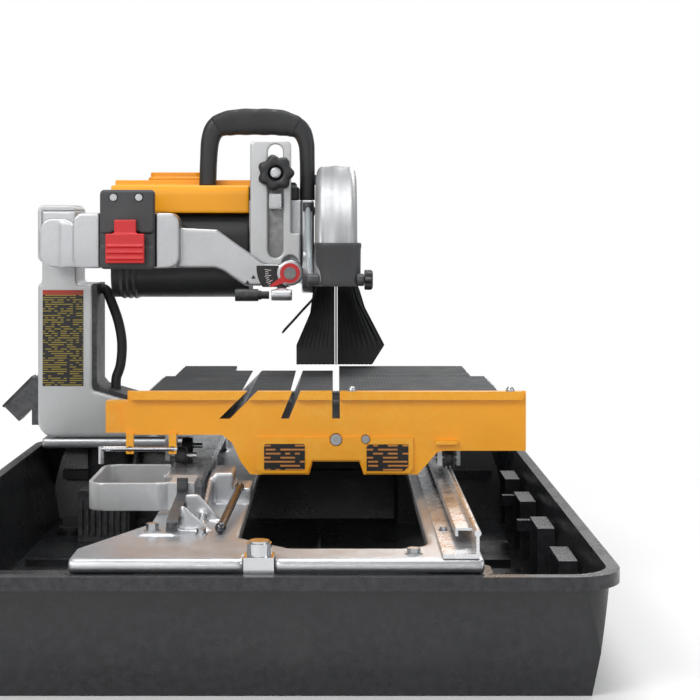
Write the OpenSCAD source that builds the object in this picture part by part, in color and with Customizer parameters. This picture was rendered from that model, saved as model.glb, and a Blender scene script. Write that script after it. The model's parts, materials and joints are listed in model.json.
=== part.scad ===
// Wet tile saw with a sliding cart, millimetres, +X right, +Y away from the operator, +Z up.
// The origin is the middle of the underside of the water pan.

/* [Pan and frame] */
// width of the water pan over its lip
pan_w = 666; // [500:1:800]
// length of the water pan over its lip
pan_l = 866; // [700:1:1000]
// height of the pan rim
pan_h = 110; // [80:1:160]
// wall thickness of the moulded pan
pan_wall = 3.5; // [2:0.5:6]
// top of the cast base frame
frame_top = 122; // [100:1:150]
// depth of the base frame beams
frame_depth = 14; // [8:1:30]

/* [Rails] */
// top of the flat left rail
left_rail_top = 150; // [140:1:170]
// height of the bead on the right rail
bead_top = 147; // [140:1:170]
// X of the bead on the right rail
bead_x = 205; // [150:1:260]
// rear end of both rails
rail_rear = 430; // [350:5:500]

/* [Column and arm] */
// left face of the column
column_x0 = -323; // [-340:1:-280]
// right face of the column
column_x1 = -249; // [-280:1:-200]
// front face of the column
column_y0 = 350; // [300:1:380]
// rear face of the column
column_y1 = 430; // [400:1:450]
// X of the bevel pivot
pivot_x = 21; // [0:1:60]
// height of the bevel pivot
pivot_z = 348.4; // [300:0.1:380]
// radius of the bevel pivot shaft
pivot_r = 8; // [5:0.5:12]
// radial running clearance in the bevel pivot
pivot_fit = 0.05; // [0.01:0.01:0.1]

/* [Cart] */
// top of the rubber table pads
table_top = 221.4; // [200:0.1:250]
// thickness of the rubber pads
pad_t = 2.4; // [1:0.1:5]
// thickness of the table casting under the pads
deck_t = 23; // [10:1:40]
// front edge of the table
table_y0 = -80; // [-120:1:0]
// rear edge of the table
table_y1 = 338; // [250:1:400]
// how far the rear bay between the blade slots is cut back
bay_l = 66; // [40:1:120]
// width of the blade slots
slot_w = 8.2; // [5:0.1:14]
// radius of the grooved right wheels
wheel_r = 12; // [8:0.5:20]
// radius of the left carriage rollers
roller_r = 9; // [6:0.5:14]
// Y of the front and rear rolling stations
wheel_y = [-53, 20]; // [-100:1:100]

/* [Blade and arbor] */
// blade radius
blade_r = 127; // [100:1:130]
// blade thickness
blade_t = 2; // [1.4:0.1:3]
// X of the blade plane
blade_x = 81; // [60:1:100]
// Y of the arbor
arbor_y = 330; // [300:1:360]
// height of the arbor
arbor_z = 351.4; // [330:0.1:370]
// radius of the arbor shaft
arbor_r = 8; // [6:0.5:12]
// radius of the arbor pulley
arbor_pulley_r = 26; // [20:1:32]
// radius of the motor pulley
motor_pulley_r = 13; // [10:1:20]

/* [Motor and head] */
// Y of the motor axis
motor_y = 375; // [360:1:400]
// height of the motor axis
motor_z = 388; // [370:1:410]
// left end of the motor
motor_x0 = -219; // [-260:1:-180]
// right end of the motor
motor_x1 = -35; // [-60:1:-20]
// height of the joint between housing and cover
cover_z = 427; // [400:1:450]
// outer radius of the blade guard
guard_r = 150; // [135:1:165]
// centre height of the guard arc
guard_z = 339.4; // [320:0.1:360]
// left and right faces of the blade guard
guard_x = [54, 108]; // [40:1:130]
// X of the depth slot
depth_x = 1.3; // [-20:0.1:20]
// height of the depth clamp stud
stud_z = 479.3; // [440:0.1:500]

/* [Hidden] */
$fn = 64;
frame_z = frame_top - frame_depth;
deck_z1 = table_top - pad_t;
deck_z0 = deck_z1 - deck_t;
bay_y = table_y1 - bay_l;
left_rail_t = 10;
wheel_z = bead_top + 0.3 + wheel_r - 2.3;
roller_z = left_rail_top + 0.3 + roller_r;
keeper_r = 6;
keeper_y = 15;
keeper_z = left_rail_top - left_rail_t - 0.3 - keeper_r;
black = "#1b1c1e";
silver = "#c9cbcc";
steel = "#9fa3a6";
yellow = "#e8b81c";

// ---- helpers ----
module box(x, y, z) {
    translate([x[0], y[0], z[0]]) cube([x[1] - x[0], y[1] - y[0], z[1] - z[0]]);
}

module rrect(w, h, r) {
    square([w - 2 * r, h], center = true);
    square([w, h - 2 * r], center = true);
    for (i = [-1, 1], j = [-1, 1])
        translate([i * (w / 2 - r), j * (h / 2 - r)]) circle(r);
}

// a profile drawn in X and Z, run along Y
module along_y(y) {
    translate([0, y[1], 0]) rotate([90, 0, 0]) linear_extrude(y[1] - y[0]) children();
}

// a profile drawn in Y and Z, run along X
module along_x(x) {
    translate([x[0], 0, 0]) rotate([90, 0, 90]) linear_extrude(x[1] - x[0]) children();
}

module rod_x(x, y, z, r) {
    translate([x[0], y, z]) rotate([0, 90, 0]) cylinder(h = x[1] - x[0], r = r);
}

module rod_y(x, y, z, r) {
    translate([x, y[1], z]) rotate([90, 0, 0]) cylinder(h = y[1] - y[0], r = r);
}

module rod_z(x, y, z, r) {
    translate([x, y, z[0]]) cylinder(h = z[1] - z[0], r = r);
}

// a straight rod between two points
module rod_between(a, b, r) {
    d = b - a;
    l = norm(d);
    translate(a) rotate([0, acos(d[2] / l), atan2(d[1], d[0])]) cylinder(h = l, r = r);
}

// a bent rod through a list of points
module bent_rod(p, r) {
    for (i = [0:len(p) - 2]) rod_between(p[i], p[i + 1], r);
    for (i = [1:len(p) - 2]) translate(p[i]) sphere(r * 1.03);
}

// everything that tilts is drawn upright, this turns a cutter about the bevel pivot
module tilted(a) {
    translate([pivot_x, 0, pivot_z]) rotate([0, a, 0]) translate([-pivot_x, 0, -pivot_z]) children();
}

// ---- water pan ----
module pan_solid(inset, z0) {
    taper = 19;
    hw = pan_w / 2 - 8 - inset;
    hl = pan_l / 2 - 8 - inset;
    intersection() {
        along_y([-hl, hl])
            polygon([[-hw + taper, z0], [hw - taper, z0], [hw, pan_h + 1], [-hw, pan_h + 1]]);
        along_x([-hw, hw])
            polygon([[-hl + taper, z0], [hl - taper, z0], [hl, pan_h + 1], [-hl, pan_h + 1]]);
        translate([0, 0, z0]) linear_extrude(pan_h - z0) rrect(2 * hw, 2 * hl, 42 - inset);
    }
}

module pan_inside() {
    // pedestals that carry the base frame
    pedestals = [[-128, -393], [190, -393], [-230, 390], [190, 390]];
    for (p = pedestals) difference() {
        translate([p[0], p[1], 3]) linear_extrude(frame_z - 3) rrect(58, 40, 8);
        translate([p[0], p[1], 2]) linear_extrude(frame_z - 6) rrect(50, 32, 5);
    }
    // stiffening ribs on the floor
    for (x = [-180, -60, 60, 240]) box([x - 2, x + 2], [-300, 330], [3, 12]);
    for (y = [-120, 100]) box([-290, 290], [y - 2, y + 2], [3, 12]);
    // stepped pump well block at the left
    box([-296, -160], [-180, -60], [3, 34]);
    box([-250, -160], [-330, -180], [3, 20]);
    for (i = [0:6]) box([-246 + i * 12, -241 + i * 12], [-322, -188], [20, 26]);
    // ledge along the rear wall
    box([-296, 296], [392, 408], [60, 72]);
    // moulded pockets in the right wall
    for (y = [-250, -90, 70, 230]) {
        box([294, 312], [y - 34, y - 30], [24, 92]);
        box([294, 312], [y + 30, y + 34], [24, 92]);
        box([294, 312], [y - 34, y + 34], [88, 92]);
    }
    // accessory clips
    for (y = [-20, 140]) box([284, 316], [y - 5, y + 5], [70, 82]);
}

module water_pan() {
    color(black) difference() {
        union() {
            difference() {
                union() {
                    pan_solid(0, 0);
                    translate([0, 0, pan_h - 12]) linear_extrude(12) rrect(pan_w, pan_l, 46);
                }
                pan_solid(pan_wall, 4);
                difference() {
                    translate([0, 0, pan_h - 13]) linear_extrude(10) rrect(pan_w - 5, pan_l - 5, 44);
                    translate([0, 0, pan_h - 14]) linear_extrude(12) rrect(pan_w - 15, pan_l - 15, 42);
                }
            }
            intersection() {
                pan_inside();
                pan_solid(1.5, 0);
            }
            rod_z(-270, 300, [3, 9], 18);
        }
        rod_z(-270, 300, [-1, 10], 10.3);
    }
}

module drain_plug() {
    color("#2c2d30") {
        rod_z(-270, 300, [0.6, 9.5], 10);
        rod_z(-270, 300, [9.3, 13], 15);
        box([-280, -260], [297.5, 302.5], [12, 27]);
    }
}

// ---- base frame ----
module beam_ribs(x, y, z, n) {
    step = (y[1] - y[0]) / n;
    for (i = [0:n]) box(x, [y[0] + i * step - 2, y[0] + i * step + 2], z);
}

module base_frame() {
    front = [-418, -368];
    left = [-100, -10];
    right = [165, 211];
    color(silver) {
        difference() {
            union() {
                // front beam with a rounded nose
                box([-153, 211], [front[0] + 7, front[1]], [frame_z, frame_top]);
                rod_x([-153, 211], front[0] + 7, frame_z + 7, 7);
                // right, left and rear beams
                box(right, [-368, 419], [frame_z, frame_top]);
                box(left, [-368, 419], [frame_z, frame_top]);
                box([-290, 211], [350, 419], [frame_z, frame_top]);
                box([-317, -288], [350, 392], [frame_z, frame_top]);
                // fillet inside the right corner
                difference() {
                    box([135, 165], [-368, -338], [frame_z, frame_top]);
                    rod_z(135, -338, [frame_z - 1, frame_top + 1], 30);
                }
                // gussets at the left
                linear_extrude_between(frame_z, frame_top) polygon([[-153, -368], [-100, -368], [-100, -250]]);
                linear_extrude_between(frame_z, frame_top) polygon([[-10, -368], [40, -368], [-10, -318]]);
            }
            // lightening pockets in the side beams
            for (y = [-270, -150, -30, 90, 210]) {
                box([176, 198], [y, y + 96], [frame_z - 1, frame_top - 5]);
                if (y > -200) box([-90, -20], [y, y + 96], [frame_z - 1, frame_top - 5]);
            }
            box([-84, -50], [-345, -215], [frame_z - 1, frame_top - 5]);
            box([0, 27.4], [-421, -395], [frame_z - 1, frame_top + 1]);
            box([-280, -130], [362, 408], [frame_z - 1, frame_top - 5]);
        }
        // tower beside the front end of the left rail
        box([-47, -26], [-150, -96], [frame_top - 1, 155]);
        box([-27, -8], [-150, -96], [frame_top - 1, 139]);
        // raised gusset webs on the left beam
        along_y([-292, -287]) polygon([[-68, frame_top - 1], [-36, frame_top - 1], [-64, 146], [-68, 146]]);
        along_y([-240, -235]) polygon([[-68, frame_top - 1], [-30, frame_top - 1], [-54, 148], [-68, 148]]);
        box([-72, -68], [-292, -200], [frame_top - 1, 132]);
        box([-104, -70], [-316, -290], [frame_top - 1, 125]);
        along_x([-52, -47]) polygon([[-290, frame_top - 1], [-96, frame_top - 1], [-96, 150], [-150, 150]]);
        // standoffs under the left rail
        for (y = [-120, 60, 240, 400])
            box([-72, -59], [y - 12, y + 12], [frame_top - 1, left_rail_top - left_rail_t]);
    }
}

module linear_extrude_between(z0, z1) {
    translate([0, 0, z0]) linear_extrude(z1 - z0) children();
}

module left_rail() {
    color(silver) difference() {
        box([-97, -59], [-150, rail_rear], [left_rail_top - left_rail_t, left_rail_top]);
        for (y = [60, 240, 400]) rod_z(-66, y, [left_rail_top - 4, left_rail_top + 1], 4.6);
    }
}

module right_rail() {
    color(silver) difference() {
        union() {
            box([174.6, 206.4], [-414, rail_rear], [frame_top, frame_top + 4]);
            box([203.6, 206.4], [-414, rail_rear], [frame_top, bead_top - 3]);
            rod_y(bead_x, [-414, rail_rear], bead_top - 3, 3);
            box([189, 204], [-365, rail_rear], [137, 139.5]);
            box([189, 191.5], [-365, rail_rear], [132, 139.5]);
        }
        rod_z(182, -305, [frame_top + 2, frame_top + 5], 5);
    }
}

module rail_loop() {
    color("#dfe1e2") {
        difference() {
            translate([0, 0, 125]) linear_extrude(28) difference() {
                translate([-126.5, -140]) rrect(87, 126, 17);
                translate([-126.5, -140]) rrect(79, 118, 13);
            }
            box([-97.4, -50], [-150.3, 0], [120, 160]);
        }
        box([-101, -62], [-199, -195], [125, 153]);
        box([-83.5, -62], [-199, -150.2], [150, 153]);
        box([-110, -98], [-83, -77], [frame_top, 128]);
        box([-104, -98], [-83, -77], [frame_top, 140]);
    }
}

module rail_brace() {
    color(black) {
        along_x([-79, -68]) polygon([[-203.5, 158], [-199.2, 158], [-199.2, 140], [-208, 138], [-300, 131],
            [-308, 125], [-308, 129], [-301, 135], [-210, 142.5], [-203.5, 145]]);
        rod_y(-73.5, [-206, -203], 152, 5);
        rod_z(-73.5, -304, [128, 133], 5);
    }
}

module stay_rod() {
    color(steel) {
        rod_between([-19, -157, 141], [-28, -303, 127], 4);
        translate([-19, -155.2, 141]) sphere(5);
        translate([-28, -303, 127.5]) sphere(5.4);
    }
}

module front_post() {
    color(steel) {
        box([0.4, 27], [-420, -396], [frame_z + 0.4, frame_top + 2]);
        rod_z(13.7, -408, [frame_top + 1, frame_top + 13], 11);
        rod_z(13.7, -408, [frame_top + 12, frame_top + 15], 9);
    }
}

module hex_bolt(x, y, z, r, h) {
    rod_z(x, y, [z, z + 1], r * 1.35);
    translate([x, y, z + 1]) cylinder(h = h, r = r, $fn = 6);
}

module fasteners() {
    color(steel) {
        hex_bolt(-92, -304, frame_top + 3, 6, 6);
        hex_bolt(-46, -303, frame_top, 4.6, 4);
        hex_bolt(150, -392, frame_top, 6, 4);
        hex_bolt(182, -305, frame_top + 2, 3.4, 4);
        for (y = [60, 240, 400]) rod_z(-66, y, [left_rail_top - 4, left_rail_top - 0.2], 4);
        for (x = [-207, -174]) rod_y(x, [252.5, 255], 447, 4.5);
        for (z = [300, 318]) rod_x([-326, -323], 390, z, 6);
    }
}

// ---- column and arm ----
module column() {
    color("#d9dbdc") {
        along_y([column_y0, column_y1]) difference() {
            union() {
                polygon([[column_x0, 147], [-299, 123], [-117, 123], [-117, 150], [-249, 188],
                    [column_x1, 331], [column_x0, 331]]);
                translate([-299, 147]) circle(24);
            }
            translate([-215, 143]) circle(9);
        }
        box([column_x0 + 6, column_x1 - 22], [column_y0, column_y1], [330, 430]);
    }
}

module column_cap() {
    color("#d9dbdc") difference() {
        along_y([column_y0, column_y1 + 3]) difference() {
            translate([-297, 399]) rrect(52, 78, 9);
            translate([-280, 340]) square([20, 86]);
        }
        box([column_x0 + 6, -260], [column_y0 - 1, column_y1], [350, 430]);
    }
}

module column_label() {
    color(black) box([-316, -261], [column_y0 - 0.8, column_y0], [193, 323]);
}

module cantilever_arm() {
    color(silver) difference() {
        union() {
            along_y([279, 289]) difference() {
                union() {
                    polygon([[-280, 355], [-78, 355], [-68, 352], [-38, 331.4], [21, 331.4], [21, 360],
                        [-12, 360], [-75, 405], [-280, 415]]);
                    translate([pivot_x, pivot_z]) circle(17);
                }
            }
            // deep box section that holds the tongue
            along_y([262, 305]) translate([-192, 391]) rrect(138, 72, 14);
            // shoulder back to the column head
            along_y([280, 349]) translate([-285, 388]) rrect(46, 64, 18);
            box([-302, -273], [348, 350], [362, 418]);
            rod_y(pivot_x, [277, 289], pivot_z, 17);
        }
        rod_y(pivot_x, [270, 295], pivot_z, pivot_r + pivot_fit);
        // plunger bore boss clearance
        box([-226, -153], [250, 268], [353, 458]);
    }
}

module bevel_scale() {
    color(black) along_y([277.2, 279]) difference() {
        intersection() {
            translate([pivot_x, pivot_z + 7]) circle(44);
            translate([-40, 330]) square([61, 28]);
        }
        translate([pivot_x, pivot_z]) circle(17.4);
    }
    color("white") for (p = [[-17, 350], [-27, 343], [-35, 336]])
        along_y([276.6, 277.4]) translate(p) polygon([[-3, -2], [3, -2], [0, 3]]);
}

module switch_box() {
    color("#2a2c2f") difference() {
        union() {
            along_y([258, 267.8]) translate([-189.5, 405.5]) rrect(71, 103, 6);
            along_y([255, 260]) translate([-189.5, 428]) rrect(69, 54, 5);
            along_y([255, 260]) translate([-189.5, 369]) rrect(69, 28, 5);
        }
        box([-209, -173], [250, 264], [364, 403]);
        for (x = [-207, -174]) rod_y(x, [253, 262], 447, 4.8);
    }
    color("#2a2c2f") for (x = [-212, -170]) rod_x([x, x + 3], 258, 396, 3);
}

module switch_paddle() {
    color("#c3262b") {
        box([-205, -177], [246, 254.4], [398, 418]);
        box([-216, -166], [244, 250], [362, 400]);
        for (z = [368, 376, 384]) rod_x([-214, -168], 244, z, 1.6);
        for (x = [-207.4, -177.4]) box([x + 0.4, x + 2.4], [246, 262], [391, 401]);
    }
}

module lock_plunger() {
    color(black) {
        rod_x([-50, -20], 266, 320, 8);
        rod_x([-22, -16], 266, 320, 6);
    }
    color(steel) rod_x([-16, -6], 266, 320, 5);
}

module plunger_body() {
    difference() {
        union() {
            rod_x([-4, 24], 266, 320, 7.5);
            box([4, 16], [266, 276.8], [314, 329.5]);
            box([4, 16], [276, 285], [320, 329.8]);
            box([4, 16], [279.3, 285], [329, 333]);
        }
        rod_x([-5, 25], 266, 320, 5.3);
    }
}

module power_cable() {
    color("#141416")
        bent_rod([[column_x1 + 0.2, 390, 322], [-236.4, 390, 322], [-229, 390, 306], [-219, 390, 278],
            [-214, 390, 248], [-216, 390, 218], [-222, 390, 200], [-222, 390, 182.6]], 7);
}

module column_trim() {
    color(black) difference() {
        along_y([352, 428]) polygon([[column_x1, 331], [-243, 331], [-243, 198], [-237, 190.5],
            [-118, 156.3], [-118, 150.4], [column_x1, 188.1]]);
        // where the cable passes through
        rod_x([column_x1 - 1, -242], 390, 322, 7.3);
        rod_z(-222, 390, [170, 200], 7.3);
    }
}

module pump() {
    color("#26282b") {
        box([-250, -184], [238, 310], [4.2, 70]);
        rod_z(-217, 274, [69, 80], 20);
        for (i = [0:7]) box([-248 + i * 8, -244 + i * 8], [234, 239], [14, 60]);
        rod_y(-194, [309, 322], 60, 7);
    }
}

module supply_hose() {
    color("#3a3d40") bent_rod([[-194, 322.5, 60], [-194, 350, 62], [-194, 372, 74], [-194, 384, 92],
        [-194, 385, 116.4]], 5);
}

module receptacle_block() {
    color("#3a3c3e") {
        translate([-352, 444, 167]) rotate([0, 45, 0]) difference() {
            translate([-14, -14, -31]) cube([28, 28, 62]);
            for (z = [-14, 14]) translate([-15, 0, z]) rotate([0, 90, 0]) cylinder(h = 8, r = 8);
        }
        box([-346, -300], [430, 436], [130, 170]);
    }
}

module receptacle_cap() {
    color(black) translate([-352, 444, 167]) rotate([0, 45, 0]) {
        translate([-18.3, -14, -30]) cube([4, 28, 56]);
        translate([-16.3, -14, -31]) rotate([-90, 0, 0]) cylinder(h = 28, r = 2);
    }
}

// ---- cart ----
module blade_slots(y, z) {
    for (a = [0, 22.5, 45]) intersection() {
        box([-200, 300], y, z);
        tilted(a) box([blade_x - slot_w / 2, blade_x + slot_w / 2], y, [150, 300]);
    }
}

module table_outline() {
    translate([-137, table_y0]) square([408, 281]);
    translate([-124, table_y0]) square([377, table_y1 - table_y0]);
}

module rear_bay(z) {
    box([-52, blade_x + slot_w / 2], [bay_y, table_y1 + 1], z);
}

module cart_table() {
    color(silver) difference() {
        union() {
            translate([0, 0, deck_z0]) linear_extrude(deck_t) table_outline();
            for (y = [-40, 150]) box([-98, 246], [y, y + 22], [178, deck_z0 + 1]);
            for (x = [-123, 236]) box([x, x + 10], [-70, 330], [182, deck_z0 + 1]);
            box([-60, 100], [252, 270], [180, deck_z0 + 1]);
        }
        blade_slots([table_y0 - 1, table_y1 + 1], [195, 230]);
        rear_bay([170, 230]);
        // ribbed underside
        for (i = [0:3]) box([-128 + i * 20, -112 + i * 20], [-44, 140], [deck_z0 - 1, deck_z0 + 14]);
        for (i = [0:5]) box([112 + i * 20, 128 + i * 20], [-44, 140], [deck_z0 - 1, deck_z0 + 14]);
    }
}

module table_pads() {
    seam = 3;
    color("#3b3d40") difference() {
        translate([0, 0, deck_z1]) linear_extrude(pad_t) difference() {
            translate([-133, table_y0 + 2]) square([400, 276]);
            translate([-134, 201 - seam]) square([402, seam]);
        }
        blade_slots([table_y0 - 1, 202], [210, 230]);
    }
    color("#3b3d40") difference() {
        translate([0, 0, deck_z1]) linear_extrude(pad_t)
            translate([-121, 201]) square([371, table_y1 - 203]);
        blade_slots([200, table_y1 + 1], [210, 230]);
        rear_bay([210, 230]);
    }
}

module fascia_outline() {
    polygon([[-144, 186], [-42, 186], [-31, 177], [-22, 157], [-12, 143.7], [-8, 143], [52, 143], [56, 157],
        [106, 157], [111, 143], [169, 143], [179, 154], [190, 167], [198, 168.7], [286, 168.7],
        [286, 233], [-144, 233]]);
}

module fascia() {
    color(yellow) difference() {
        union() {
            along_y([-86, table_y0]) fascia_outline();
            along_y([-89, -85]) polygon([[-5, 183], [-5, 150], [0, 145], [50, 145], [55, 159], [107, 159],
                [112, 145], [160, 145], [164, 150], [164, 183]]);
            along_y([-92, -85]) translate([71, 228.5]) rrect(424, 9, 3);
            box([-170, -143], [-70, -50], [186, 220]);
            box([-146, -137.2], [-86, -48], [186, 220]);
            box([188, 212], [-92, -86], [176, 180]);
            for (x = [-141, -95]) box([x - 4, x + 4], [-91, -85], [166, 188]);
        }
        blade_slots([-95, table_y0 + 1], [203, 240]);
        rod_y(81, [-90, -84], 181, 7);
        rod_y(113, [-90, -84], 181.5, 5);
        for (x = [-141, -95]) rod_y(x, [-100, -84], 171, 3.3);
        rod_x([-150, -88], -88.3, 171, 3.3);
    }
}

module fascia_labels() {
    color(black) {
        along_y([-89.8, -89]) translate([25.5, 162.5]) rrect(44, 28, 2);
        along_y([-89.8, -89])
            polygon([[114, 147.5], [154, 147.5], [159, 152], [159, 176], [114, 176]]);
    }
}

module fascia_screws() {
    color(steel) {
        rod_y(81, [-89.5, -86], 181, 6);
        rod_y(113, [-89.5, -86], 181.5, 4.2);
        for (x = [98, 269]) {
            rod_z(x, -86, [233, 234], 5);
            translate([x, -86, 234]) intersection() {
                sphere(4.4);
                cylinder(h = 5, r = 5);
            }
        }
    }
}

module hex_key() {
    color(steel) {
        rod_x([-172, -90], -88.3, 171, 3);
        rod_z(-172, -88.3, [155, 174], 3);
    }
}

module carriage() {
    color(steel) {
        for (y = wheel_y) {
            rod_x([190, 216], y, wheel_z, 3);
            box([192, 197], [y - 9, y + 9], [149, deck_z0]);
            box([213, 217], [y - 9, y + 9], [149, deck_z0]);
            rod_x([-106, -72], y, roller_z, 3);
            box([-106, -101], [y - 8, y + 8], [154, deck_z0]);
        }
        box([-106, -101], [wheel_y[0], wheel_y[1] + 4], [178, deck_z0]);
        rod_x([-106, -84], keeper_y, keeper_z, 2.5);
        box([-106, -101], [keeper_y - 8, keeper_y + 8], [124, 180]);
    }
}

module wheel(y) {
    color("#6d7073") translate([bead_x, y, wheel_z]) rotate([0, 90, 0]) rotate_extrude()
        polygon([[3.05, -6], [wheel_r, -6], [wheel_r, -4.4], [wheel_r - 2.4, -3.2],
            [wheel_r - 2.4, 3.2], [wheel_r, 4.4], [wheel_r, 6], [3.05, 6]]);
}

module roller(y, z, r, bore, x) {
    color(black) translate([x[0], y, z]) rotate([0, 90, 0]) rotate_extrude()
        polygon([[bore, 0], [r - 1, 0], [r, 1], [r, x[1] - x[0] - 1], [r - 1, x[1] - x[0]],
            [bore, x[1] - x[0]]]);
}

// ---- tilting bracket ----
module bevel_bracket() {
    color(steel) {
        box([-28, 18], [298, 310], [338, 492]);
        rod_y(pivot_x, [298, 310], pivot_z, 13);
        // pivot shaft and its spacer
        rod_y(pivot_x, [268, 299], pivot_z, pivot_r);
        rod_y(pivot_x, [289.4, 299], pivot_z, 10);
        // guide rail that the head slides on
        box([-10, 0], [309, 319], [345, 485]);
        box([-17, 7], [318, 326], [345, 485]);
    }
}

module bevel_pointer() {
    color("#c3262b") difference() {
        along_y([269, 275.5]) difference() {
            union() {
                translate([pivot_x, pivot_z]) circle(13);
                polygon([[11, 345], [-5, 332.5], [-3, 330], [19, 338]]);
            }
            translate([pivot_x, pivot_z]) circle(pivot_r);
        }
    }
}

module depth_stud() {
    color(steel) {
        rod_y(depth_x, [264, 298], stud_z, 5);
    }
    color(black) {
        box([depth_x - 8, depth_x + 8], [284, 298], [432.8, 452]);
        box([depth_x - 8, depth_x + 8], [281, 285], [434, 450]);
    }
    color(steel) rod_y(depth_x, [279.5, 281.5], 442, 4);
}

module depth_knob() {
    color(black) difference() {
        along_y([268, 288]) {
            translate([depth_x, stud_z]) circle(20);
            for (i = [0:6])
                translate([depth_x + 18 * cos(i * 360 / 7), stud_z + 18 * sin(i * 360 / 7)]) circle(7.6);
        }
        rod_y(depth_x, [262, 290], stud_z, 5.05);
        rod_y(depth_x, [266, 271], stud_z, 10);
    }
}

// ---- saw head ----
module depth_plate() {
    color("#d9dbdc") difference() {
        union() {
            along_y([290.5, 297]) difference() {
                polygon([[-32, 364], [20, 352], [34, 352], [34, 380], [22, 402], [22, 518], [18, 522],
                    [-28, 522], [-32, 518]]);
                hull_slot(depth_x, 368, 517.5, 9.8);
                translate([pivot_x, 360.4]) circle(11);
                translate([pivot_x - 11, 330]) square([24.5, 30.4]);
            }
            // lugs back to the gear housing
            box([23, 34], [290.5, 314], [375, 400]);
        }
    }
}

module hull_slot(x, z0, z1, r) {
    translate([x, z0 + r]) circle(r);
    translate([x, z1 - r]) circle(r);
    translate([x - r, z0 + r]) square([2 * r, z1 - z0 - 2 * r]);
}

module motor_profile(inset) {
    translate([motor_y - 1, 371]) rrect(122 - 2 * inset, 114 - 2 * inset, 30);
}

module motor_housing() {
    color(black) difference() {
        union() {
            along_x([motor_x0, motor_x1]) intersection() {
                motor_profile(0);
                translate([300, 300]) square([200, cover_z - 300]);
            }
            for (x = [motor_x0 + 14, motor_x0 + 22, motor_x0 + 30]) along_x([x, x + 3]) intersection() {
                motor_profile(-2);
                translate([300, 300]) square([200, cover_z - 302]);
            }
            box([-120, -60], [318, 330], [338, 380]);
        }
        along_x([motor_x0 + 4, motor_x1 - 8]) intersection() {
            motor_profile(4);
            translate([300, 300]) square([200, 200]);
        }
        rod_x([motor_x1 - 9, motor_x1 + 1], motor_y, motor_z, 14.3);
        for (z = [350, 364, 378, 392]) box([motor_x0 - 1, motor_x0 + 5], [350, 400], [z, z + 6]);
    }
}

module motor_cover() {
    color(yellow) difference() {
        along_x([motor_x0, motor_x1]) difference() {
            union() {
                translate([314, cover_z]) square([121, 25]);
                translate([374.5, 449.5]) rrect(121, 45, 20);
            }
            translate([300, 464]) square([57, 20]);
        }
        along_x([motor_x0 + 4, motor_x1 - 4]) {
            translate([318, cover_z - 1]) square([113, 28]);
            translate([374.5, 445]) rrect(113, 30, 13);
        }
        for (i = [0:5]) box([-90 + i * 8, -86 + i * 8], [380, 420], [464, 474]);
    }
}

module vent_cover() {
    color("#d9701c") difference() {
        union() {
            translate([-138, 396, 472]) linear_extrude(11) rrect(70, 50, 9);
            translate([-138, 396, 472]) linear_extrude(4) rrect(76, 56, 10);
        }
        for (i = [0:6]) box([-164 + i * 8, -160 + i * 8], [378, 414], [477, 484]);
    }
}

module belt_outline(extra) {
    translate([arbor_y, arbor_z]) circle(arbor_pulley_r + extra);
    translate([motor_y, motor_z]) circle(arbor_pulley_r - 3 + extra);
    d = atan2(motor_z - arbor_z, motor_y - arbor_y);
    translate([arbor_y, arbor_z]) rotate(d)
        translate([0, -(arbor_pulley_r - 3 + extra)]) square([norm([motor_y - arbor_y, motor_z - arbor_z]),
            2 * (arbor_pulley_r - 3 + extra)]);
}

module gear_housing() {
    color(silver) difference() {
        union() {
            // block that carries the slide and the arbor bearing
            box([-35, 35.5], [314, 420], [361, 444]);
            rod_x([12, 36], arbor_y + 3.5, arbor_z, 19);
            box([12, 35.5], [314, 350], [345, 362]);
            // belt case
            along_x([35.3, 50.5]) belt_outline(5.5);
            box([35.3, 50.5], [310, 420], [372, 444]);
            rod_x([50, 70], arbor_y, arbor_z, 19);
            rod_x([50, 54], arbor_y, arbor_z, 25);
        }
        along_x([37.5, 48.3]) belt_outline(3.2);
        // slide channel
        box([-10.5, 0.5], [313, 319.5], [330, 445]);
        box([-17.5, 7.5], [317.5, 326.5], [330, 445]);
        // bores for bearings and shafts
        rod_x([15, 24], arbor_y, arbor_z, 14);
        rod_x([14, 71], arbor_y, arbor_z, arbor_r + 1);
        rod_x([57, 71], arbor_y, arbor_z, 14);
        rod_x([-36, 40], motor_y, motor_z, 8);
        rod_x([-36, -24], motor_y, motor_z, 14);
        // hollow behind the slide
        box([-31, 31], [392, 416], [365, 440]);
    }
    color(steel) for (z = [380, 430]) rod_x([50.5, 52], 404, z, 5);
}

module housing_cap() {
    color(black) difference() {
        union() {
            box([-35, 31], [314, 420], [444, 462]);
            box([-31, 27], [318, 416], [461, 468]);
        }
        box([-10.5, 0.5], [313, 319.5], [440, 470]);
        box([-17.5, 7.5], [317.5, 326.5], [440, 470]);
        box([-31, 27], [331, 416.5], [443, 464]);
    }
}

module carry_handle() {
    color(black) difference() {
        along_y([333, 357]) difference() {
            polygon([[-104, 464], [-80, 464], [-76, 512], [-66, 530], [22, 533], [32, 520], [32, 444],
                [52.6, 444], [52.6, 540], [44, 556], [30, 563], [-20, 568], [-60, 567], [-92, 560],
                [-104, 546]]);
        }
        for (x = [-60, -36, -12, 12]) box([x, x + 3], [332, 358], [560, 570]);
    }
}

// ---- blade guard ----
module guard_section(r) {
    difference() {
        translate([arbor_y, guard_z]) circle(r);
        translate([arbor_y - 200, guard_z - 200]) square([400, 196]);
    }
}

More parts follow.
